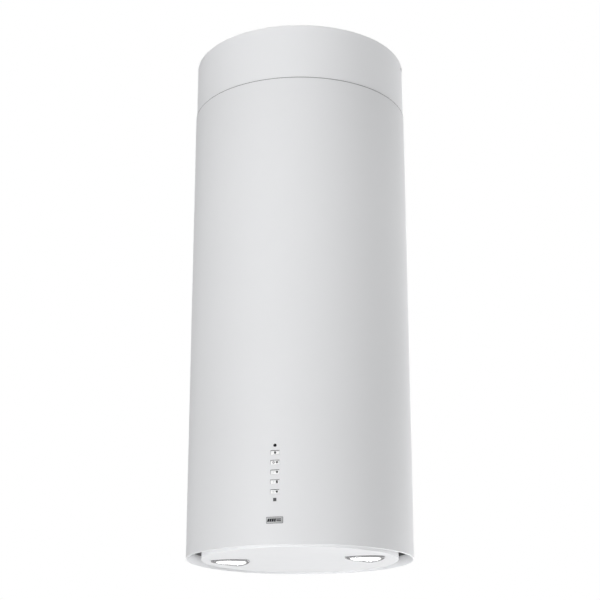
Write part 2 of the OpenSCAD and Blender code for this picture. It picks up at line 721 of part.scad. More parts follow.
module filter_frame() color([0.78, 0.79, 0.8]) difference() {
    union() {
        block([-filter_x, -filter_y, up(filter_low)], [filter_x, filter_y, up(filter_low + filter_t)]);
        for (x = [-tab_x, tab_x]) block([x - 10, filter_y - 1, up(deck_h + deck_t)],
                                  [x + 10, filter_y + 7, up(deck_h + deck_t + 1.5)]);
    }
    block([-filter_x + frame_w, -filter_y + latch_strip, up(filter_low + 1)],
          [filter_x - frame_w, filter_y - frame_w, up(filter_low + filter_t - 1)]);
    block([-filter_x + frame_w + 2, -filter_y + latch_strip + 2, up(filter_low - 1)],
          [filter_x - frame_w - 2, filter_y - frame_w - 2, up(filter_low + filter_t + 1)]);
    block([-latch_half - 0.4, -filter_y - 1, up(filter_low + 3)],
          [latch_half + 0.4, -filter_y + latch_strip - 3, up(filter_low + filter_t + 1)]);
    block([-latch_grip - 3, -filter_y + 6, up(filter_low - 1)],
          [latch_grip + 3, -filter_y + latch_strip - 6, up(filter_low + 4)]);
}

module filter_mesh() color([0.8, 0.8, 0.8])
    block([-filter_x + frame_w, -filter_y + latch_strip, up(filter_low + 1)],
          [filter_x - frame_w, filter_y - frame_w, up(filter_low + filter_t - 1)]);

// The latch's tongue lies on the deck's front lip, and its finger bar hangs in the frame's recess
module filter_latch() color(dark) union() {
    block([-latch_half, -filter_y + 1, up(filter_low + 3.3)],
          [latch_half, -filter_y + latch_strip - 3.4 - latch_travel, up(filter_low + 6.5)]);
    block([-12, -filter_y - 4, up(deck_h + deck_t + 0.3)],
          [12, -filter_y + 12, up(deck_h + deck_t + 2)]);
    block([-12, -filter_y + 2, up(filter_low + 6.5 - e)], [12, -filter_y + 12, up(deck_h + deck_t + 0.4)]);
    block([-latch_grip, -filter_y + 7, up(filter_low - 1)],
          [latch_grip, -filter_y + 10, up(filter_low + 3.4)]);
}

ceiling_plate();
upper_rail([-1, -1]);  // upper_rail_front_left
upper_rail([1, -1]);  // upper_rail_front_right
upper_rail([-1, 1]);  // upper_rail_rear_left
upper_rail([1, 1]);  // upper_rail_rear_right
upper_brace();
upper_chimney();
chimney_screws();
main_casing();
edge_trim();
lower_rail([-1, -1]);  // lower_rail_front_left
lower_rail([1, -1]);  // lower_rail_front_right
lower_rail([-1, 1]);  // lower_rail_rear_left
lower_rail([1, 1]);  // lower_rail_rear_right
clamp_screws();
chassis_plate();
chassis_struts();
chassis_screws();
filter_deck();
blower_half(-1);  // blower_housing_front
blower_half(1);  // blower_housing_rear
housing_screws();
motor();
motor_bracket();
run_capacitor();
outlet_collar();
flap_pin();
control_box();
control_box_lid();
terminal_block();
cable_gland();
control_board();
button_guide();
status_lens();
sensor_window();
badge_plate();
hinge_brackets();
hinge_pins();
catch_magnets();
filter_frame();
filter_mesh();
filter_latch();
button(0);  // light_button
button(1);  // off_button
button(2);  // speed_1_button
button(3);  // speed_2_button
button(4);  // boost_button
suction_panel();
panel_liner();
panel_hinge_lugs();
lamp_housing(-1);  // lamp_housing_left
lamp_housing(1);  // lamp_housing_right
lamp_bezel(-1);  // lamp_bezel_left
lamp_bezel(1);  // lamp_bezel_right
lamp_lens(-1);  // lamp_lens_left
lamp_lens(1);  // lamp_lens_right
impeller();
motor_shaft();
flap(-1, [[-62, -42], [2, 22]]);  // flap_front
flap(1, [[-22, -2], [42, 62]]);  // flap_rear
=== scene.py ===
import json
import math

import bmesh
import bpy
from mathutils import Matrix, Vector


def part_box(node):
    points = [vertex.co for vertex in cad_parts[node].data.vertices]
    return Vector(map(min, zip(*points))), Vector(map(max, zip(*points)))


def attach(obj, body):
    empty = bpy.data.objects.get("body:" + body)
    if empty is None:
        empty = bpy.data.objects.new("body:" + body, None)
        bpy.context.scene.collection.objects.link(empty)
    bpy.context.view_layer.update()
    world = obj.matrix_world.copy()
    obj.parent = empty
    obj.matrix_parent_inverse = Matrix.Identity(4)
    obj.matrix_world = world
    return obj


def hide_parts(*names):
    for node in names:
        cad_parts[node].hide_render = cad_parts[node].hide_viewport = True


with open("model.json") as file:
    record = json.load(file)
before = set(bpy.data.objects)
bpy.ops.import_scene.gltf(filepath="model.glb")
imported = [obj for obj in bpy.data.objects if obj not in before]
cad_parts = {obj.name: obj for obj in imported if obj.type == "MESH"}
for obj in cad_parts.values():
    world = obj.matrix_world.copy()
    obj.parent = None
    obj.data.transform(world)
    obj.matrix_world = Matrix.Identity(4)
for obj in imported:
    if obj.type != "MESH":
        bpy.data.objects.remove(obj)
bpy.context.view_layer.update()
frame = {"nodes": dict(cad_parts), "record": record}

scene = bpy.context.scene
scene.view_settings.view_transform = "Standard"

MM = 0.001
ROUND = 256                                # segments round the casing

# ---- Places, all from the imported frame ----

casing_low, casing_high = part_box("main_casing")
chimney_low, chimney_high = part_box("upper_chimney")
panel_low, panel_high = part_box("suction_panel")
RIM = casing_low.z
RADIUS = casing_high.x
JOINT = casing_high.z
CHIMNEY_R = chimney_high.x
PANEL_R = panel_high.x
SHEET = 0.8 * MM
BUTTONS = ["light_button", "off_button", "speed_1_button", "speed_2_button", "boost_button"]
SIDES = {"left": -1, "right": 1}


def middle(node):
    """The middle of a CAD node's box."""
    low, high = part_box(node)
    return (low + high) / 2


# ---- Camera: at head height, looking up at the hood from its front right ----

VIEW_TURN = math.radians(12)               # of the camera from the front, towards +X
VIEW_PITCH = math.radians(17.756)          # upwards
VIEW_DISTANCE = 2.3297                     # from the hood's axis
VIEW_DROP = 0.3016                         # of the camera below the rim
VIEW_LENS = 85.35                          # in mm, on a sensor 36 mm wide

camera = bpy.data.objects.new("camera", bpy.data.cameras.new("camera"))
scene.collection.objects.link(camera)
camera.data.sensor_width = 36
camera.data.lens = VIEW_LENS
camera.location = (VIEW_DISTANCE * math.sin(VIEW_TURN), -VIEW_DISTANCE * math.cos(VIEW_TURN), RIM - VIEW_DROP)
camera.rotation_euler = (math.pi / 2 + VIEW_PITCH, 0, VIEW_TURN)
scene.camera = camera


# ---- Material tools ----

def material(name, colour, roughness, metallic=0.0):
    """A new material with its Principled shader set, and the coordinates of its object."""
    made = bpy.data.materials.new(name)
    made.use_nodes = True
    tree = made.node_tree
    shader = tree.nodes["Principled BSDF"]
    shader.inputs["Base Color"].default_value = (*colour, 1)
    shader.inputs["Roughness"].default_value = roughness
    shader.inputs["Metallic"].default_value = metallic
    place = tree.nodes.new("ShaderNodeTexCoord").outputs["Object"]
    return made, tree, shader, place


def stretched(tree, place, scale):
    """Coordinates stretched by scale along X, Y and Z."""
    mapping = tree.nodes.new("ShaderNodeMapping")
    mapping.inputs["Scale"].default_value = scale
    tree.links.new(place, mapping.inputs["Vector"])
    return mapping.outputs["Vector"]


def noise(tree, place, scale, detail=3.0, rough=0.5):
    """A noise pattern's value, about 0.5."""
    node = tree.nodes.new("ShaderNodeTexNoise")
    node.inputs["Scale"].default_value = scale
    node.inputs["Detail"].default_value = detail
    node.inputs["Roughness"].default_value = rough
    tree.links.new(place, node.inputs["Vector"])
    return node.outputs["Fac"]


def cells(tree, place, scale, output="Color"):
    """A cell pattern: each cell's colour, or the distance from its middle."""
    node = tree.nodes.new("ShaderNodeTexVoronoi")
    node.inputs["Scale"].default_value = scale
    tree.links.new(place, node.inputs["Vector"])
    return node.outputs[output]


def ramp(tree, factor, low, high, start=0.3, end=0.7):
    """A colour that goes from low to high as factor goes from start to end."""
    node = tree.nodes.new("ShaderNodeValToRGB")
    node.color_ramp.elements[0].position = start
    node.color_ramp.elements[1].position = end
    node.color_ramp.elements[0].color = (*low, 1)
    node.color_ramp.elements[1].color = (*high, 1)
    tree.links.new(factor, node.inputs["Fac"])
    return node.outputs["Color"]


def spread(tree, factor, low, high):
    """A number that goes from low to high as factor goes from 0.3 to 0.7."""
    node = tree.nodes.new("ShaderNodeMapRange")
    node.inputs["From Min"].default_value = 0.3
    node.inputs["From Max"].default_value = 0.7
    node.inputs["To Min"].default_value = low
    node.inputs["To Max"].default_value = high
    tree.links.new(factor, node.inputs["Value"])
    return node.outputs["Result"]


def bump(tree, shader, height, strength, depth):
    """Makes the surface look raised where height is high."""
    node = tree.nodes.new("ShaderNodeBump")
    node.inputs["Strength"].default_value = strength
    node.inputs["Distance"].default_value = depth
    tree.links.new(height, node.inputs["Height"])
    tree.links.new(node.outputs["Normal"], shader.inputs["Normal"])


def varied(tree, shader, factor, colour, change):
    """Links a base colour that varies by the share change around colour."""
    low = [c * (1 - change) for c in colour]
    high = [min(1, c * (1 + change)) for c in colour]
    tree.links.new(ramp(tree, factor, low, high), shader.inputs["Base Color"])


# ---- Materials ----

def paint(name, colour, roughness=0.42):
    """Powder coat: a soft orange peel, and a faint cloudiness in colour and gloss."""
    made, tree, shader, place = material(name, colour, roughness)
    varied(tree, shader, noise(tree, place, 7, 2), colour, 0.006)
    tree.links.new(spread(tree, noise(tree, place, 60, 3), roughness - 0.03, roughness + 0.03),
                   shader.inputs["Roughness"])
    bump(tree, shader, noise(tree, place, 620, 2), 0.05, 0.1 * MM)
    return made


def galvanised(name):
    """Zinc spangle: crystals of a centimetre or so, each with its own grey and gloss."""
    colour = (0.60, 0.61, 0.63)
    made, tree, shader, place = material(name, colour, 0.4, 1.0)
    spangle = cells(tree, place, 85)
    split = tree.nodes.new("ShaderNodeSeparateColor")
    tree.links.new(spangle, split.inputs["Color"])
    varied(tree, shader, split.outputs["Red"], colour, 0.13)
    tree.links.new(spread(tree, split.outputs["Green"], 0.34, 0.46), shader.inputs["Roughness"])
    bump(tree, shader, noise(tree, place, 900, 3), 0.08, 0.05 * MM)
    return made


def metal(name, colour, roughness, grain=(900, 900, 900), depth=0.05):
    """Bare metal with a grain: equal scales look cast or plated, unequal ones look brushed."""
    made, tree, shader, place = material(name, colour, roughness, 1.0)
    lines = noise(tree, stretched(tree, place, grain), 1, 4, 0.6)
    varied(tree, shader, lines, colour, 0.05)
    tree.links.new(spread(tree, lines, roughness - 0.06, roughness + 0.08), shader.inputs["Roughness"])
    bump(tree, shader, lines, 0.15, depth * MM)
    return made


def moulded(name, colour, roughness=0.5, grain=1300, strength=0.12):
    """Moulded plastic: spark-eroded texture and faint flow marks."""
    made, tree, shader, place = material(name, colour, roughness)
    varied(tree, shader, noise(tree, place, 40, 3), colour, 0.08)
    tree.links.new(spread(tree, noise(tree, place, 90, 3), roughness - 0.05, roughness + 0.06),
                   shader.inputs["Roughness"])
    bump(tree, shader, noise(tree, place, grain, 3), strength, 0.06 * MM)
    return made


def polished(name, colour, roughness=0.07, coat=0.6):
    """Glossy plastic or enamel under a clear coat, with the faintest waviness."""
    made, tree, shader, place = material(name, colour, roughness)
    shader.inputs["Coat Weight"].default_value = coat
    shader.inputs["Coat Roughness"].default_value = 0.04
    varied(tree, shader, noise(tree, place, 120, 2), colour, 0.1)
    bump(tree, shader, noise(tree, place, 300, 2), 0.03, 0.05 * MM)
    return made


def opal(name, strength):
    """A lit opal diffuser, a little brighter over each emitter behind it."""
    made, tree, shader, place = material(name, (0.92, 0.92, 0.90), 0.3)
    shader.inputs["Emission Strength"].default_value = strength
    glow = ramp(tree, cells(tree, place, 95, "Distance"), (1, 1, 1), (0.93, 0.94, 0.95), 0.0, 0.7)
    tree.links.new(glow, shader.inputs["Emission Color"])
    bump(tree, shader, noise(tree, place, 1500, 2), 0.05, 0.05 * MM)
    return made


def board(name):
    """A circuit board: green solder mask over raised tracks."""
    made, tree, shader, place = material(name, (0.02, 0.13, 0.06), 0.35)
    bricks = tree.nodes.new("ShaderNodeTexBrick")
    bricks.inputs["Scale"].default_value = 260
    bricks.inputs["Mortar Size"].default_value = 0.06
    bricks.inputs["Color1"].default_value = (0.015, 0.11, 0.05, 1)
    bricks.inputs["Color2"].default_value = (0.02, 0.14, 0.065, 1)
    bricks.inputs["Mortar"].default_value = (0.05, 0.24, 0.11, 1)
    flat = stretched(tree, place, (1, 1, 1))
    flat.node.inputs["Rotation"].default_value = (math.pi / 2, 0, 0)
    tree.links.new(flat, bricks.inputs["Vector"])
    tree.links.new(bricks.outputs["Color"], shader.inputs["Base Color"])
    bump(tree, shader, bricks.outputs["Fac"], 0.3, 0.05 * MM)
    return made


WHITE = (0.765, 0.77, 0.782)
materials = {
    "white_paint": paint("white_powder_coat", WHITE),
    "galvanised_steel": galvanised("galvanised_sheet"),
    "zinc_screws": metal("zinc_plate", (0.66, 0.66, 0.68), 0.3, (1500, 1500, 1500)),
    # dark grey rubber, which also paints the shadow line where the casing meets the chimney
    "edge_trim_rubber": moulded("edge_rubber_painted_shadow", (0.12, 0.12, 0.125), 0.75),
    # the deck's dark grey paint, which also paints the shade seen in the gap round the panel
    "deck_paint": paint("dark_grey_paint_and_painted_shade", (0.10, 0.10, 0.105), 0.5),
    "black_plastic": moulded("black_polypropylene", (0.022, 0.022, 0.024)),
    "motor_aluminium": metal("cast_aluminium", (0.60, 0.61, 0.62), 0.45, (500, 500, 500), 0.2),
    "capacitor_plastic": moulded("capacitor_case", (0.72, 0.72, 0.69), 0.4),
    "ground_steel": metal("ground_steel", (0.66, 0.67, 0.69), 0.22, (300, 2500, 2500)),
    "terminal_plastic": moulded("terminal_polyamide", (0.75, 0.73, 0.66), 0.45),
    "circuit_board": board("solder_mask"),
    "smoked_lens": polished("smoked_lens", (0.012, 0.012, 0.014), 0.05, 0.2),
    "badge_metal": metal("brushed_badge", (0.68, 0.685, 0.69), 0.42, (90, 90, 5000)),
    "magnet": moulded("magnet_holder", (0.05, 0.05, 0.055), 0.6),
    "filter_aluminium": metal("anodised_frame", (0.66, 0.67, 0.68), 0.33, (60, 2500, 2500)),
    "filter_weave": metal("filter_strand", (0.60, 0.61, 0.62), 0.36, (1200, 1200, 1200)),
    "button_white": moulded("button_white", (0.93, 0.935, 0.94), 0.34, 2000, 0.05),
    "bezel_chrome": metal("bright_chrome", (0.84, 0.84, 0.85), 0.2, (1800, 1800, 1800), 0.01),
    "lamp_diffuser": opal("opal_diffuser", 0.5),
    "impeller_plastic": moulded("glass_filled_plastic", (0.035, 0.035, 0.038), 0.45),
}
ink = moulded("button_ink", (0.03, 0.03, 0.032), 0.5)
grey_ink = moulded("button_grey_ink", (0.36, 0.36, 0.37), 0.5)
smoked_grey = polished("smoked_grey", (0.12, 0.12, 0.125), 0.2)
packed_strand = metal("packed_strand", (0.40, 0.40, 0.41), 0.45, (1700, 1700, 1700), 0.4)
enamel = polished("badge_enamel", (0.03, 0.032, 0.036), 0.12)
# dark metal for the badge's frame: painted shade along the badge's border
badge_frame_painted_shade = metal("dark_frame_metal_painted_shade", (0.24, 0.24, 0.25), 0.42)
# dark primer for the casing's inner wall, also painting the shade deep inside the casing
primer_and_painted_shade = moulded("inner_primer_and_painted_shade", (0.16, 0.16, 0.165), 0.7, 500)
# dark grey for the bezel's outer wall: painted shade line along the bezel's front
bezel_wall_painted_shade = moulded("bezel_wall_painted_shade", (0.17, 0.17, 0.175), 0.4, 500, 0.05)

for row in frame["record"]["subparts"]:
    node = frame["nodes"][row["node"]]
    node.data.materials.clear()
    node.data.materials.append(materials[row["material_slot"]])


# ---- Mesh tools ----

SHARP = math.radians(35)                   # edges over this stay sharp, the others are shaded smooth


def piece(name, mesh, body, slot, finish=None, hides=()):
    """Links a mesh as a piece that rides on body, with the slot's finish unless another one is given."""
    for polygon in mesh.polygons:
        polygon.use_smooth = True
    mesh.set_sharp_from_angle(angle=SHARP)
    made = bpy.data.objects.new(name, mesh)
    scene.collection.objects.link(made)
    if not mesh.materials:
        mesh.materials.append(finish or materials[slot])
    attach(made, body)
    if hides:
        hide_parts(*hides)


def from_bmesh(name, bm):
    """A mesh of bm, with its faces turned outwards."""
    bmesh.ops.recalc_face_normals(bm, faces=bm.faces)
    mesh = bpy.data.meshes.new(name)
    bm.to_mesh(mesh)
    bm.free()
    return mesh


def arc(x, y, r, start, end, steps=6):
    """Points on an arc, with its angles in degrees."""
    turns = [math.radians(start + (end - start) * i / steps) for i in range(steps + 1)]
    return [(x + r * math.cos(t), y + r * math.sin(t)) for t in turns]


def rings(name, loops, closed=True, capped=False):
    """A mesh of quads between loops of equally many points. closed joins the last loop to the first."""
    bm = bmesh.new()
    rows = [[bm.verts.new(p) for p in loop] for loop in loops]
    count = len(rows[0])
    pairs = list(zip(rows, rows[1:] + rows[:1])) if closed else list(zip(rows, rows[1:]))
    for a, b in pairs:
        for i in range(count):
            j = (i + 1) % count
            bm.faces.new((a[i], a[j], b[j], b[i]))
    if capped:
        bm.faces.new(rows[0])
        bm.faces.new(rows[-1])
    return from_bmesh(name, bm)


def lathe(name, profile, segments=ROUND):
    """A profile of (radius, z) points, closed on itself, turned about a vertical axis."""
    turns = [2 * math.pi * i / segments for i in range(segments)]
    loops = [[(r * math.cos(t), r * math.sin(t), z) for t in turns] for r, z in profile]
    return rings(name, loops)


def soft_box(name, low, high, radius, steps=3, cuts_x=0, chamfer=0):
    """A box with rounded edges, cut across X so that it can follow the casing's curve.

    chamfer is the width of a flat that takes off the box's upper front edge.
    """
    bm = bmesh.new()
    bmesh.ops.create_cube(bm, size=1)
    low, high = Vector(low), Vector(high)
    for v in bm.verts:
        v.co = Vector(((low[i] + high[i]) / 2 + v.co[i] * (high[i] - low[i]) for i in range(3)))
    if chamfer:
        upper = [v for v in bm.verts if v.co.y < low.y + MM / 2 and v.co.z > high.z - MM / 2]
        edge = [e for e in bm.edges if all(v in upper for v in e.verts)]
        bmesh.ops.bevel(bm, geom=edge, offset=chamfer, segments=1, affect="EDGES")
    if radius:
        bmesh.ops.bevel(bm, geom=bm.edges[:], offset=radius, segments=steps, profile=0.5, affect="EDGES")
    for i in range(cuts_x):
        x = low.x + (high.x - low.x) * (i + 1) / (cuts_x + 1)
        bmesh.ops.bisect_plane(bm, geom=bm.verts[:] + bm.edges[:] + bm.faces[:], plane_co=(x, 0, 0),
                               plane_no=(1, 0, 0))
    return from_bmesh(name, bm)


def along_casing(mesh):
    """Bends a mesh at the front so that it follows the casing's curve."""
    for v in mesh.vertices:
        v.co.y += RADIUS - math.sqrt(RADIUS ** 2 - v.co.x ** 2)
    return mesh


def joined(meshes):
    """The meshes as one, each still closed on its own."""
    bm = bmesh.new()
    for mesh in meshes:
        bm.from_mesh(mesh)
    return from_bmesh(meshes[0].name, bm)


def combined(name, mesh, cutters):
    """mesh with each of the cutters cut out of it."""
    base = bpy.data.objects.new(name, mesh)
    scene.collection.objects.link(base)
    helpers = []
    for cutter in cutters:
        helper = bpy.data.objects.new(name + "_helper", cutter)
        scene.collection.objects.link(helper)
        helpers.append(helper)
        step = base.modifiers.new("step", "BOOLEAN")
        step.operation = "DIFFERENCE"
        step.solver = "EXACT"
        step.object = helper
    made = bpy.data.meshes.new_from_object(base.evaluated_get(bpy.context.evaluated_depsgraph_get()))
    for helper in helpers + [base]:
        bpy.data.objects.remove(helper)
    made.name = name
    made.materials.clear()
    return made


def rod(name, start, end, radius, segments=48):
    """A cylinder between two points."""
    axis = Vector(end) - Vector(start)
    bm = bmesh.new()
    bmesh.ops.create_cone(bm, cap_ends=True, segments=segments, radius1=radius, radius2=radius,
                          depth=axis.length)
    turn = axis.to_track_quat("Z", "Y").to_matrix().to_4x4()
    bm.transform(Matrix.Translation((Vector(start) + Vector(end)) / 2) @ turn)
    return from_bmesh(name, bm)


# ---- Casing and chimney ----

SEAM_W = 0.5 * MM
SEAM_DEEP = 0.3 * MM
HEM = 1.2 * MM                             # height of the rim's rounding, and its width
HEM_W = 0.9 * MM
RETURN = 17.5 * MM                         # height of the fold inside the rim
LIP = 0.3 * MM                             # small chamfer where a sheet ends
CAP_W = 13.7 * MM
CAP_H = 6.3 * MM
PLAY = 0.3 * MM                            # gap round a button cap, and the wider one above it
PLAY_ABOVE = 0.55 * MM
STATUS_HOLE_R = 2.8 * MM
SENSOR_HOLE = 5.2 * MM
SCREW_HOLE_R = 2.2 * MM
PAST = 5 * MM                              # how far a cutter reaches outside the surface it opens
BEHIND = 4 * MM                            # and how far inside the casing's front


def seam(radius, low, high):
    """The hairline at the back where the rolled sheet's two edges meet."""
    return soft_box("seam", (-SEAM_W / 2, radius - SEAM_DEEP, low), (SEAM_W / 2, radius + PAST, high), 0)


def front_hole(half_w, low, high, corner):
    """A cutter through the casing's front, from height low to high."""
    return soft_box("hole", (-half_w, -RADIUS - PAST, low), (half_w, -RADIUS + BEHIND, high), corner)


def button_hole(node):
    """A cutter for a button's opening, with more room above the cap than round it."""
    z = middle(node).z
    return front_hole(CAP_W / 2 + PLAY, z - CAP_H / 2 - PLAY, z + CAP_H / 2 + PLAY_ABOVE, 0.7 * MM)


def casing():
    """The rolled casing, open for the controls, with its rim folded inwards and dark primer inside, which
    also paints the shade deep inside the casing.
    """
    inner = RADIUS - SHEET
    edge = 0.25 * MM
    profile = [(RADIUS, RIM + HEM + i * (JOINT - RIM - HEM - edge) / 4) for i in range(5)]
    profile += arc(RADIUS - edge, JOINT - edge, edge, 15, 90, 3)
    profile += [(inner, JOINT), (inner, RIM + RETURN)]
    profile += [(inner - SHEET * 0.7, RIM + RETURN), (inner - SHEET, RIM + RETURN - LIP)]
    profile += [(inner - SHEET, RIM + 0.1 * MM), (inner - SHEET + 0.1 * MM, RIM)]
    profile += [(RADIUS + HEM_W * (x - 1), RIM + HEM * (y + 1)) for x, y in arc(0, 0, 1, 270, 350, 8)]
    shell = lathe("casing_shell", profile)
    cuts = [button_hole(n) for n in BUTTONS]
    status, sensor = middle("status_lens"), middle("sensor_window")
    start, end = (0, -RADIUS - PAST, status.z), (0, -RADIUS + BEHIND, status.z)
    cuts.append(rod("hole", start, end, STATUS_HOLE_R, 40))
    cuts.append(front_hole(SENSOR_HOLE / 2, sensor.z - SENSOR_HOLE / 2, sensor.z + SENSOR_HOLE / 2, 0))
    cuts.append(seam(RADIUS, RIM + 3 * MM, JOINT + MM))
    mesh = combined("casing_shell", shell, cuts)
    mesh.materials.append(materials["white_paint"])
    mesh.materials.append(primer_and_painted_shade)
    # the inner wall above the fold gets the dark primer: partly its real primer, partly painted shade deep in
    # the casing
    for face in mesh.polygons:
        inside = math.hypot(face.center.x, face.center.y) < RADIUS - 0.7 * MM
        if inside and face.center.z > RIM + RETURN + MM:
            face.material_index = 1
    piece("casing_shell", mesh, "hood_body", "white_paint", hides=["main_casing"])


def chimney():
    """The rolled upper tube, with a hole on each side for its screw."""
    inner = CHIMNEY_R - SHEET
    low, high = chimney_low.z, chimney_high.z
    profile = [(CHIMNEY_R, low), (CHIMNEY_R, high - LIP), (CHIMNEY_R - LIP, high)]
    profile += [(inner, high), (inner, low)]
    shell = lathe("chimney_shell", profile)
    z = middle("chimney_screws").z
    cuts = []
    for side in SIDES.values():
        start, end = side * (CHIMNEY_R - 15 * MM), side * (CHIMNEY_R + 15 * MM)
        cuts.append(rod("hole", (start, 0, z), (end, 0, z), SCREW_HOLE_R, 32))
    cuts.append(seam(CHIMNEY_R, low + MM, high - MM))
    mesh = combined("chimney_shell", shell, cuts)
    piece("chimney_shell", mesh, "ceiling_frame", "white_paint", hides=["upper_chimney"])


def edge_bead():
    """The soft strip that keeps the casing's top edge off the chimney's paint; its dark grey also paints the
    shadow line at the joint.
    """
    low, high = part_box("edge_trim")
    inner = RADIUS - SHEET
    foot = low.z + (high.z - low.z) * 0.1
    outside, inside = 0.3 * MM, 0.2 * MM       # radii of its two upper edges
    profile = [(RADIUS, low.z), *arc(RADIUS - outside, high.z - outside, outside, 0, 90, 4)]
    profile += [*arc(inner + inside, high.z - inside, inside, 90, 180, 4), (inner, foot)]
    bead = lathe("edge_bead", profile)
    piece("edge_bead", bead, "hood_body", "edge_trim_rubber", hides=["edge_trim"])


casing()
chimney()
edge_bead()

# ---- Controls ----

CAP_RECESS = 0.7 * MM
CAP_THICK = 2 * MM
CAP_CHAMFER = 0.7 * MM
STOP_DEEP = 0.8 * MM                       # from a cap's face back to the flange that stops it
STEM_W = 10 * MM
STEM_H = 4 * MM
MARK_PROUD = 0.05 * MM
MARK_DEEP = 0.15 * MM


def on_front(radius, x):
    """Y of a point x from the middle, on the front of a cylinder about the hood's axis."""
    return -math.sqrt(radius ** 2 - x ** 2)


def inlay(outlines, radius, z, proud=MARK_PROUD, deep=MARK_DEEP):
    """Flat shapes set into the front. Each outline is a loop of (x, height) about z."""
    bm = bmesh.new()
    for outline in outlines:
        front, back = [], []
        for x, h in outline:
            y = on_front(radius, x)
            front.append(bm.verts.new((x, y - proud, z + h)))
            back.append(bm.verts.new((x, y + deep, z + h)))
        bm.faces.new(front)
        bm.faces.new(back[::-1])
        for i in range(len(outline)):
            j = (i + 1) % len(outline)
            bm.faces.new((front[i], back[i], back[j], front[j]))
    return from_bmesh("inlay", bm)


def disc(x, h, r, steps=28):
    """A full circle about (x, h)."""
    return arc(x, h, r, 0, 360 - 360 / steps, steps - 1)


def bar(x, h, w, length, slant=0.0):
    """An upright bar about (x, h), leaning to the right by slant from foot to head."""
    return [(x - w / 2 - slant / 2, h - length / 2), (x + w / 2 - slant / 2, h - length / 2),
            (x + w / 2 + slant / 2, h + length / 2), (x - w / 2 + slant / 2, h + length / 2)]


def pill(x, h, w, length):
    """An upright window with round ends."""
    r = w / 2
    return arc(x, h + length / 2 - r, r, 0, 180, 10) + arc(x, h - length / 2 + r, r, 180, 360, 10)


def open_ring(x, h, r, w, gap=36):
    """Two arcs of a ring, with a gap at the top, as one outline."""
    return arc(x, h, r, 90 + gap, 450 - gap, 20) + arc(x, h, r - w, 450 - gap, 90 + gap, 20)


LED_X = 3.2 * MM
MARK_X = -2.2 * MM
bulb = [disc(0, 0.3 * MM, 1.7 * MM), bar(0, -1.75 * MM, 1.6 * MM, 1.0 * MM)]
standby = [open_ring(MARK_X, -0.2 * MM, 1.9 * MM, 0.8 * MM), bar(MARK_X, 0.8 * MM, 0.7 * MM, 1.9 * MM)]
led = [disc(LED_X, 0, 1.6 * MM)]
long_led = [pill(LED_X, 0, 2.6 * MM, 4.6 * MM)]


def speed_bars(count):
    """Thin bars side by side, each longer than the last."""
    pitch, thick, shortest, growth = 1.1 * MM, 0.4 * MM, 1.6 * MM, 0.6 * MM
    left = MARK_X - (count - 1) / 2 * pitch
    return [bar(left + i * pitch, 0, thick, shortest + i * growth) for i in range(count)]


# Each button's printed marks, and the windows of the small lamps behind it
button_marks = {
    "light_button": (bulb, []),
    "off_button": (standby, led),
    "speed_1_button": (speed_bars(1), led),
    "speed_2_button": (speed_bars(2), long_led),
    "boost_button": (speed_bars(3), led),
}


def button(node):
    """A white cap that follows the casing, its mark and its lamp's window, and its stop flange and stem in
    black as painted shade in the gap round the cap.
    """
    low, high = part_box(node)
    z = middle(node).z
    face = -RADIUS + CAP_RECESS
    back = face + CAP_THICK
    cap = soft_box("cap", (-CAP_W / 2, face, z - CAP_H / 2), (CAP_W / 2, back, z + CAP_H / 2),
                   0.2 * MM, cuts_x=11, chamfer=CAP_CHAMFER)
    along_casing(cap)
    stop = soft_box("stop", (low.x, face + STOP_DEEP, low.z), (high.x, back, high.z), 0.2 * MM)
    stem = soft_box("stem", (-STEM_W / 2, back - 0.1 * MM, z - STEM_H / 2),
                    (STEM_W / 2, high.y, z + STEM_H / 2), 0.3 * MM)
    name = node.replace("_button", "")
    white_faces = len(cap.polygons)
    whole = joined([cap, stop, stem])
    whole.materials.append(materials["button_white"])
    whole.materials.append(materials["black_plastic"])
    # the stop flange and stem get black: painted shade in the gap round each cap
    for i in range(white_faces, len(whole.polygons)):
        whole.polygons[i].material_index = 1
    piece(name + "_cap", whole, node, "button_white", hides=[node])
    marks, windows = button_marks[node]
    grey = marks is not bulb and marks is not standby
    piece(name + "_mark", inlay(marks, -face, z), node, "button_white", grey_ink if grey else ink)
    if windows:
        piece(name + "_window", inlay(windows, -face, z, 2 * MARK_PROUD), node, "smoked_lens")


def across(mesh, x, y, z):
    """Turns a lathe made about Z so that its top points to the front, at (x, y, z)."""
    mesh.transform(Matrix.Translation((x, y, z)) @ Matrix.Rotation(math.pi / 2, 4, "X"))
    return mesh


def status_dome():
    """The dark lens of the status lamp: nearly flat, with a foot flange behind the casing."""
    low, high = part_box("status_lens")
    z = (low.z + high.z) / 2
    length = high.y - low.y
    foot, flange = high.x, 1 * MM
    r = foot - 0.9 * MM
    pinhole, edge = 0.01 * MM, 0.3 * MM
    profile = [(pinhole, 0), (foot, 0), (foot, flange), (r, flange)]
    profile += arc(r - edge, length - edge - 0.05 * MM, edge, 0, 80, 4)
    profile += [(r * 0.4, length - 0.02 * MM), (pinhole, length)]
    mesh = across(lathe("status_dome", profile, 48), 0, high.y, z)
    piece("status_dome", mesh, "hood_body", "smoked_lens", hides=["status_lens"])


def sensor():
    """The sensor's dark window, with three shallow flutes across its face."""
    low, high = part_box("sensor_window")
    body = soft_box("sensor", low, high, 0.3 * MM)
    pitch = (high.x - low.x) / 4
    y, margin = low.y - 0.1 * MM, 0.7 * MM
    flutes = [rod("flute", (x, y, low.z + margin), (x, y, high.z - margin), 0.3 * MM, 24)
              for x in (-pitch, 0, pitch)]
    piece("sensor_filter", combined("sensor_filter", body, flutes), "hood_body", "smoked_lens", smoked_grey,
          hides=["sensor_window"])


BADGE_FRAME = 0.7 * MM
BADGE_FIELD = 0.25 * MM                    # how far the field lies below the frame
BADGE_CORNER = 0.8 * MM


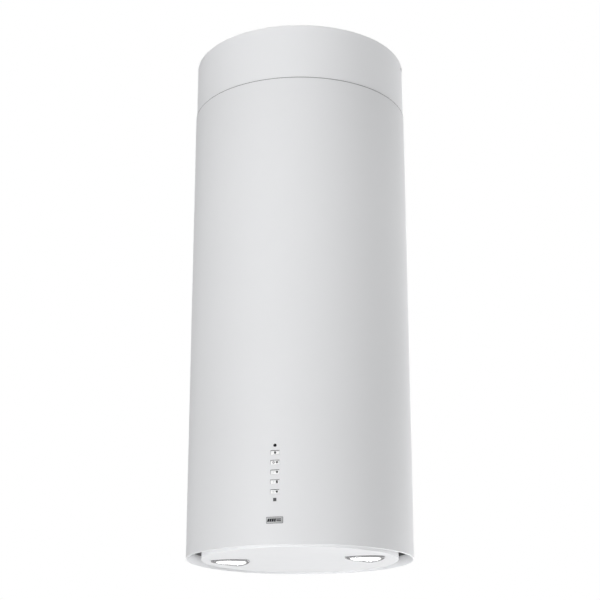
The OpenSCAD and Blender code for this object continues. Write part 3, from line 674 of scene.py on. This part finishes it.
def badge():
    """A blank metal badge whose raised frame is painted dark for the shade along its border, and plain dark
    blocks and bars in its field.
    """
    low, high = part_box("badge_plate")
    radius = -low.y
    field = radius - BADGE_FIELD
    z = (low.z + high.z) / 2
    half_w, half_h = (high.x - low.x) / 2, (high.z - low.z) / 2
    edge = 0.15 * MM
    steps = [(0, RADIUS), (0, radius - edge), (edge, radius)]
    steps += [(BADGE_FRAME - 0.1 * MM, radius), (BADGE_FRAME, field)]
    loops = []
    for inset, r in steps:
        outline = round_rect(half_w - inset, half_h - inset, BADGE_CORNER)
        loops.append([(x, on_front(r, x), z + y) for x, y in outline])
    bm = bmesh.new()
    rows = [[bm.verts.new(p) for p in loop] for loop in loops]
    for a, b in zip(rows, rows[1:]):
        for i in range(len(a)):
            j = (i + 1) % len(a)
            bm.faces.new((a[i], a[j], b[j], b[i]))
    # the frame's steps get the dark metal: painted shade along the badge's border
    for face in bm.faces:
        face.material_index = 1
    strips(bm, rows[-1])
    strips(bm, rows[0])
    mesh = from_bmesh("badge", bm)
    mesh.materials.append(materials["badge_metal"])
    mesh.materials.append(badge_frame_painted_shade)
    piece("badge", mesh, "hood_body", "badge_metal", hides=["badge_plate"])
    blocks = [bar(x * MM, 0, 2.9 * MM, 4.8 * MM, 1.1 * MM) for x in (-9.6, -6.2, -2.8, 0.6)]
    blocks += [bar(6.4 * MM, h * MM, 7 * MM, 1.5 * MM) for h in (-1, 1.4)]
    piece("badge_bars", inlay(blocks, field, z, 0.08 * MM, 0.1 * MM), "hood_body", "badge_metal", enamel)


def round_rect(half_w, half_h, r, steps=5, cuts=12):
    """A rounded rectangle, with its long sides cut so that it can follow a curve. Both long sides match."""
    points = []
    xs = [half_w - r - (half_w - r) * 2 * i / cuts for i in range(1, cuts)]
    points += arc(half_w - r, half_h - r, r, 0, 90, steps)
    points += [(x, half_h) for x in xs]
    points += arc(-half_w + r, half_h - r, r, 90, 180, steps)
    points += arc(-half_w + r, -half_h + r, r, 180, 270, steps)
    points += [(-x, -half_h) for x in xs]
    points += arc(half_w - r, -half_h + r, r, 270, 360, steps)
    return points


def strips(bm, loop):
    """Fills a loop whose first half mirrors its second half about the middle height."""
    n = len(loop)
    for i in range(n // 2 - 1):
        bm.faces.new((loop[i], loop[i + 1], loop[n - 2 - i], loop[n - 1 - i]))


for node in BUTTONS:
    button(node)
status_dome()
sensor()
badge()

# ---- Suction panel and lamps ----

EDGE = 0.35 * MM                           # radius of the panel's edges
SKIN = 1 * MM
PINHOLE = 0.5 * MM                         # what a disc's profile leaves open, to be closed by cap_middle
LAMP_STEPS = 16                            # points along a lamp's side, and round its corner
CUT_IN = 2.5 * MM                          # from the bezel's outline in to the panel's opening
LAMP_DEPTH = 1.15                          # depth of a lamp as a share of its width
BEZEL = (64 * MM, 9 * MM, 90 * MM)         # width, radius of a corner, radius of a side
LENS = (50 * MM, 10 * MM, 50 * MM)
BEZEL_DROP = 2 * MM                        # how far the bezel stands out from the panel
LENS_DROP = 1.1 * MM                       # and its lens's edge
LENS_CROWN = 0.4 * MM


def lamp_outline(shape, grow):
    """A triangle with bowed sides and round corners, one corner to the back, moved outwards by grow."""
    width, corner, bow = shape
    half = width / 2 - corner
    corner_reach = half / math.cos(math.radians(30))
    side_reach = corner_reach / 2 - math.sqrt((bow - corner) ** 2 - half ** 2)
    swing = math.degrees(math.asin(half / (bow - corner)))
    points = []
    for side in (30, 150, 270):
        side_arc = (side, side_reach, bow + grow, side - swing, side + swing)
        corner_arc = (side + 60, corner_reach, corner + grow, side + swing, side + 120 - swing)
        for away, reach, r, start, end in (side_arc, corner_arc):
            x, y = reach * math.cos(math.radians(away)), reach * math.sin(math.radians(away))
            points += arc(x, y, r, start, end, LAMP_STEPS)[:-1]
    return [(x, y * LAMP_DEPTH) for x, y in points]


def lamp_loop(side, shape, grow, z):
    """The outline on one side of the panel, at height z above the rim."""
    low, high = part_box("lamp_bezel_" + side)
    ends = [y for x, y in lamp_outline(BEZEL, 0)]
    x0 = (low.x + high.x) / 2
    y0 = (low.y + high.y) / 2 - (max(ends) + min(ends)) / 2
    return [(x0 + x, y0 + y, RIM + z) for x, y in lamp_outline(shape, grow)]


def panel():
    """The suction panel: a white dish with a turned-up edge, and an opening for each lamp."""
    high = panel_high.z
    inner = PANEL_R - SKIN
    profile = arc(PANEL_R - EDGE, RIM + EDGE, EDGE, 270, 360, 8)
    profile += arc(PANEL_R - EDGE, high - EDGE, EDGE, 0, 90, 3)
    profile += [(inner, high), (inner, RIM + SKIN), (PINHOLE, RIM + SKIN), (PINHOLE, RIM)]
    shell = lathe("panel_shell", profile)
    cap_middle(shell, PINHOLE)
    cuts = []
    for side in SIDES:
        loops = [lamp_loop(side, BEZEL, -CUT_IN, z) for z in (-PAST, PAST)]
        cuts.append(rings("cut", loops, closed=False, capped=True))
    piece("panel_shell", combined("panel_shell", shell, cuts), "suction_panel", "white_paint",
          hides=["suction_panel"])


def cap_middle(mesh, radius):
    """Closes the pinhole that a lathe leaves in the middle of a disc."""
    bm = bmesh.new()
    bm.from_mesh(mesh)
    walls = [f for f in bm.faces if all(math.hypot(v.co.x, v.co.y) < radius * 1.01 for v in f.verts)]
    bmesh.ops.delete(bm, geom=walls, context="FACES_ONLY")
    bmesh.ops.holes_fill(bm, edges=[e for e in bm.edges if e.is_boundary], sides=0)
    bmesh.ops.recalc_face_normals(bm, faces=bm.faces)
    bm.to_mesh(mesh)
    bm.free()


def lamp(side):
    """A bezel that stands out from the panel, its outer wall painted dark for the shade line along its front,
    and its lens.
    """
    edge = 0.15 * MM
    near = edge + 0.05 * MM                    # loops that keep the flats flat beside the rounded edges
    collar = -CUT_IN - 0.1 * MM                # for the part that sits in the panel's opening
    outline = [(BEZEL, 0, 0), (BEZEL, 0, near - BEZEL_DROP)]
    outline += [(BEZEL, r, z) for r, z in arc(-edge, edge - BEZEL_DROP, edge, 0, -90, 3)]
    outline += [(BEZEL, -near, -BEZEL_DROP), (LENS, near, -BEZEL_DROP)]
    outline += [(LENS, r, z) for r, z in arc(edge, edge - BEZEL_DROP, edge, -90, -180, 3)]
    outline += [(LENS, 0, SKIN), (BEZEL, collar, SKIN), (BEZEL, collar, 0)]
    loops = [lamp_loop(side, *row) for row in outline]
    ring = rings("lamp_ring", loops)
    ring.materials.append(materials["bezel_chrome"])
    ring.materials.append(bezel_wall_painted_shade)
    # the outer wall gets dark grey: painted shade line along the bezel's front
    for i in range(len(loops[0])):             # the outer wall, between the first two loops
        ring.polygons[i].material_index = 1
    piece("lamp_ring_" + side, ring, "suction_panel", "bezel_chrome", hides=["lamp_bezel_" + side])
    lens(side)


def lens(side):
    """An opal diffuser, gently domed, with its back flat."""
    edge = [Vector(p) for p in lamp_loop(side, LENS, 0, -LENS_DROP)]
    centre = sum(edge, Vector((0, 0, 0))) / len(edge)
    down = Vector((0, 0, -LENS_CROWN))
    bm = bmesh.new()
    rows = []
    for share in (1, 0.93, 0.8, 0.6, 0.4, 0.2):
        lowest = centre + down * (1 - share ** 2)
        rows.append([bm.verts.new(lowest + (p - centre) * share) for p in edge])
    middle_point = bm.verts.new(centre + down)
    back = [bm.verts.new((p.x, p.y, RIM + SKIN * 0.8)) for p in edge]
    rows.insert(0, back)
    n = len(edge)
    for a, b in zip(rows, rows[1:]):
        for i in range(n):
            bm.faces.new((a[i], a[(i + 1) % n], b[(i + 1) % n], b[i]))
    for i in range(n):
        bm.faces.new((rows[-1][i], rows[-1][(i + 1) % n], middle_point))
    bm.faces.new(back)
    piece("lamp_diffuser_" + side, from_bmesh("lens", bm), "suction_panel", "lamp_diffuser",
          hides=["lamp_lens_" + side])


BEADS = (136 * MM, 88 * MM)                # radii of the liner's two pressed rings
BEAD_W = 4 * MM
BEAD_H = 0.9 * MM
RIVETS = 8
RIVET_R = 3 * MM                           # of a rivet's ball-shaped head, before it is flattened
RIVET_CIRCLE = 148 * MM


def liner():
    """The panel's inner lid: a galvanised disc with two pressed beads and its rivets."""
    low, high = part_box("panel_liner")
    r, bottom, top = high.x, low.z, high.z
    profile = [(PINHOLE, bottom), (r - LIP, bottom), (r, bottom + LIP), (r, top - LIP), (r - LIP, top)]
    for bead in BEADS:
        profile += [(bead + BEAD_W * x, top + BEAD_H * y) for x, y in arc(0, 0, 1, 0, 180, 8)]
    profile.append((PINHOLE, top))
    mesh = lathe("liner_pressing", profile, 160)
    cap_middle(mesh, PINHOLE)
    parts = [mesh]
    for i in range(RIVETS):
        turn = 2 * math.pi * (i + 0.5) / RIVETS
        rivet = lathe("rivet", [(0.05 * MM, 0)] + arc(0, -0.6 * MM, RIVET_R, 12, 89.5, 8), 24)
        place = Vector((RIVET_CIRCLE * math.cos(turn), RIVET_CIRCLE * math.sin(turn), top - 0.05 * MM))
        rivet.transform(Matrix.Translation(place) @ Matrix.Diagonal((0.9, 0.9, 0.5, 1)))
        parts.append(rivet)
    piece("liner_pressing", joined(parts), "suction_panel", "galvanised_steel", hides=["panel_liner"])


panel()
for side in SIDES:
    lamp(side)
liner()

# ---- Grease filter ----

STRAND_W = 0.7 * MM
STRAND_T = 0.45 * MM
DIAMOND_X = 7 * MM                         # size of an opening in the expanded metal
DIAMOND_Y = 3.5 * MM
ZIGZAG = 0.42                              # how far a strand's corners swing, as a share of the row pitch


def expanded_sheet(low, high, z, lean):
    """A sheet of expanded metal: rows of zigzag strands that meet at their corners."""
    columns = int((high.x - low.x) / (DIAMOND_X / 2))
    rows = int((high.y - low.y - STRAND_W) / (DIAMOND_Y / 2))
    step = (high.x - low.x) / columns
    pitch = (high.y - low.y - STRAND_W) / rows
    half = STRAND_W / 2
    section = [(-half, 0), (half, 0), (half, STRAND_T), (-half, STRAND_T)]
    bm = bmesh.new()
    for row in range(rows + 1):
        previous = None
        for column in range(columns + 1):
            swing = 1 if (row + column) % 2 else -1
            x = low.x + column * step
            y = low.y + half + min(max(row + swing * ZIGZAG, 0), rows) * pitch
            foot = z + swing * lean / 2
            loop = [bm.verts.new((x, y + dy, foot + dz)) for dy, dz in section]
            if previous:
                for i in range(4):
                    bm.faces.new((previous[i], previous[(i + 1) % 4], loop[(i + 1) % 4], loop[i]))
            else:
                bm.faces.new(loop)
            previous = loop
        bm.faces.new(previous[::-1])
    return from_bmesh("expanded_sheet", bm)


def filter_pack():
    """Three layers of expanded metal round a pad of packed strand."""
    low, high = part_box("filter_mesh")
    deep = high.z - low.z
    sheets = [expanded_sheet(low, high, low.z + 0.3 * MM, 0.4 * MM),
              expanded_sheet(low, high, low.z + deep * 0.28, 0.8 * MM),
              expanded_sheet(low, high, high.z - 0.3 * MM - STRAND_T, 0.4 * MM)]
    sheets[1].transform(Matrix.Translation((DIAMOND_X / 5, 0, 0)) @ Matrix.Diagonal((0.97, 1, 1, 1)))
    piece("filter_weave", joined(sheets), "hood_body", "filter_weave", hides=["filter_mesh"])
    pad = soft_box("filter_pad", (low.x, low.y, low.z + deep * 0.45), (high.x, high.y, high.z - deep * 0.2),
                   1 * MM)
    piece("filter_pad", pad, "hood_body", "filter_weave", packed_strand)


filter_pack()

# ---- CAD nodes that show, with their edges softened ----

# The width of each one's rounding, in mm
softened = {
    "filter_frame": 0.35, "filter_latch": 0.3, "hinge_brackets": 0.25, "panel_hinge_lugs": 0.25,
    "catch_magnets": 0.3, "ceiling_plate": 0.2, "upper_brace": 0.2, "control_box": 0.4,
    "control_box_lid": 0.4, "button_guide": 0.3, "terminal_block": 0.3, "cable_gland": 0.3,
    "motor_bracket": 0.3, "blower_housing_front": 0.3, "blower_housing_rear": 0.3, "outlet_collar": 0.3,
    "run_capacitor": 0.3, "chassis_struts": 0.3,
}
bodies = frame["record"]["behaviour"]["bodies"]
body_of_node = {node: body for body, nodes in bodies.items() for node in nodes}
slot_of_node = {row["node"]: row["material_slot"] for row in frame["record"]["subparts"]}
CREASE = math.radians(50)                  # edges sharper than this are rounded


def weigh_normals(mesh):
    """Keeps flat faces flat beside rounded edges, by weighing each face around a corner by its area."""
    around = [[] for _ in mesh.vertices]
    for polygon in mesh.polygons:
        for v in polygon.vertices:
            around[v].append((polygon.normal.copy(), polygon.area))
    least = math.cos(CREASE)
    normals = []
    for polygon in mesh.polygons:
        own = polygon.normal.copy()
        for v in polygon.vertices:
            total = sum((n * area for n, area in around[v] if n.dot(own) > least), Vector((0, 0, 0)))
            normals.append(total.normalized() if total.length > 0 else own)
    mesh.normals_split_custom_set(normals)


def soften(node, width):
    """A copy of a CAD node with its sharp edges rounded, in the node's place."""
    bm = bmesh.new()
    bm.from_mesh(frame["nodes"][node].data)
    bmesh.ops.remove_doubles(bm, verts=bm.verts, dist=0.002 * MM)
    bmesh.ops.dissolve_limit(bm, angle_limit=math.radians(0.5), verts=bm.verts, edges=bm.edges)
    sharp = [e for e in bm.edges if e.is_manifold and e.calc_face_angle(0) > CREASE]
    bmesh.ops.bevel(bm, geom=sharp, offset=width, segments=2, profile=0.5, affect="EDGES", clamp_overlap=True)
    mesh = from_bmesh(node + "_soft", bm)
    piece(node + "_soft", mesh, body_of_node[node], slot_of_node[node], hides=[node])
    weigh_normals(mesh)


for node, width in softened.items():
    soften(node, width * MM)

# ---- Light and floor ----

FLOOR = -4.5                               # height of the floor's top
FLOOR_R = 4.0
FLOOR_T = 0.02


def floor():
    """A disc well below the hood, pale to the camera and grey to the light, so that it throws little back."""
    profile = [(MM, 0), (FLOOR_R, 0), (FLOOR_R, -FLOOR_T), (MM, -FLOOR_T)]
    made = bpy.data.objects.new("floor", lathe("floor", profile))
    scene.collection.objects.link(made)
    made.location.z = FLOOR
    grey = (0.2, 0.2, 0.2)
    finish, tree, shader, place = material("pale_floor", grey, 0.6)
    varied(tree, shader, noise(tree, place, 3, 3), grey, 0.01)
    pale = tree.nodes.new("ShaderNodeEmission")
    pale.inputs["Color"].default_value = (0.80, 0.80, 0.81, 1)
    seen = tree.nodes.new("ShaderNodeMixShader")
    tree.links.new(tree.nodes.new("ShaderNodeLightPath").outputs["Is Camera Ray"], seen.inputs["Fac"])
    tree.links.new(shader.outputs["BSDF"], seen.inputs[1])
    tree.links.new(pale.outputs["Emission"], seen.inputs[2])
    tree.links.new(seen.outputs[0], tree.nodes["Material Output"].inputs["Surface"])
    made.data.materials.append(finish)


def calculate(tree, operation, a, b):
    """A math node. b may be a number or a socket."""
    node = tree.nodes.new("ShaderNodeMath")
    node.operation = operation
    tree.links.new(a, node.inputs[0])
    if isinstance(b, (int, float)):
        node.inputs[1].default_value = b
    else:
        tree.links.new(b, node.inputs[1])
    return node.outputs[0]


def studio(softboxes):
    """A white backdrop for the camera, and a soft studio for the light.

    Each softbox is (turn in degrees, anticlockwise from the camera as seen from above; elevation in degrees,
    negative below the horizon; sharpness; strength).
    """
    world = bpy.data.worlds.new("studio")
    scene.world = world
    world.use_nodes = True
    tree = world.node_tree
    way = tree.nodes.new("ShaderNodeTexCoord").outputs["Generated"]
    total = None
    for turn, elevation, sharpness, strength in softboxes:
        turn = VIEW_TURN + math.radians(turn)
        rise = math.radians(elevation)
        level = math.cos(rise)
        lobe = tree.nodes.new("ShaderNodeVectorMath")
        lobe.operation = "DOT_PRODUCT"
        lobe.inputs[1].default_value = (math.sin(turn) * level, -math.cos(turn) * level, math.sin(rise))
        tree.links.new(way, lobe.inputs[0])
        soft = calculate(tree, "POWER", calculate(tree, "MAXIMUM", lobe.outputs["Value"], 0.0), sharpness)
        soft = calculate(tree, "MULTIPLY", soft, strength)
        total = calculate(tree, "ADD", soft, total) if total else soft
    lamp = tree.nodes["Background"]
    tree.links.new(total, lamp.inputs["Strength"])
    backdrop = tree.nodes.new("ShaderNodeBackground")
    backdrop.inputs["Strength"].default_value = 1.0
    for node in (lamp, backdrop):
        node.inputs["Color"].default_value = (1, 1, 1, 1)
    chosen = tree.nodes.new("ShaderNodeMixShader")
    tree.links.new(tree.nodes.new("ShaderNodeLightPath").outputs["Is Camera Ray"], chosen.inputs["Fac"])
    tree.links.new(lamp.outputs[0], chosen.inputs[1])
    tree.links.new(backdrop.outputs[0], chosen.inputs[2])
    tree.links.new(chosen.outputs[0], tree.nodes["World Output"].inputs["Surface"])


floor()
studio([
    (-40, -25, 20, 8.95), (-20, -25, 20, 0.7),     # the key, in front on the left
    (20, -25, 20, 0.9), (40, -25, 20, 3.5),        # a weak fill, in front on the right
    (-140, -25, 20, 4.2),                          # rim light from behind on the left
    (120, -25, 20, 6.3), (140, -25, 20, 5.7),      # a stronger one from behind on the right
    (160, 15, 20, 0.6), (180, 15, 20, 1.2),        # the backdrop's own light
    (0, -90, 3, 2.4), (120, -60, 8, 0.6),          # light off the floor
    (0, 90, 20, 2.2),                              # from straight above, for the top
])
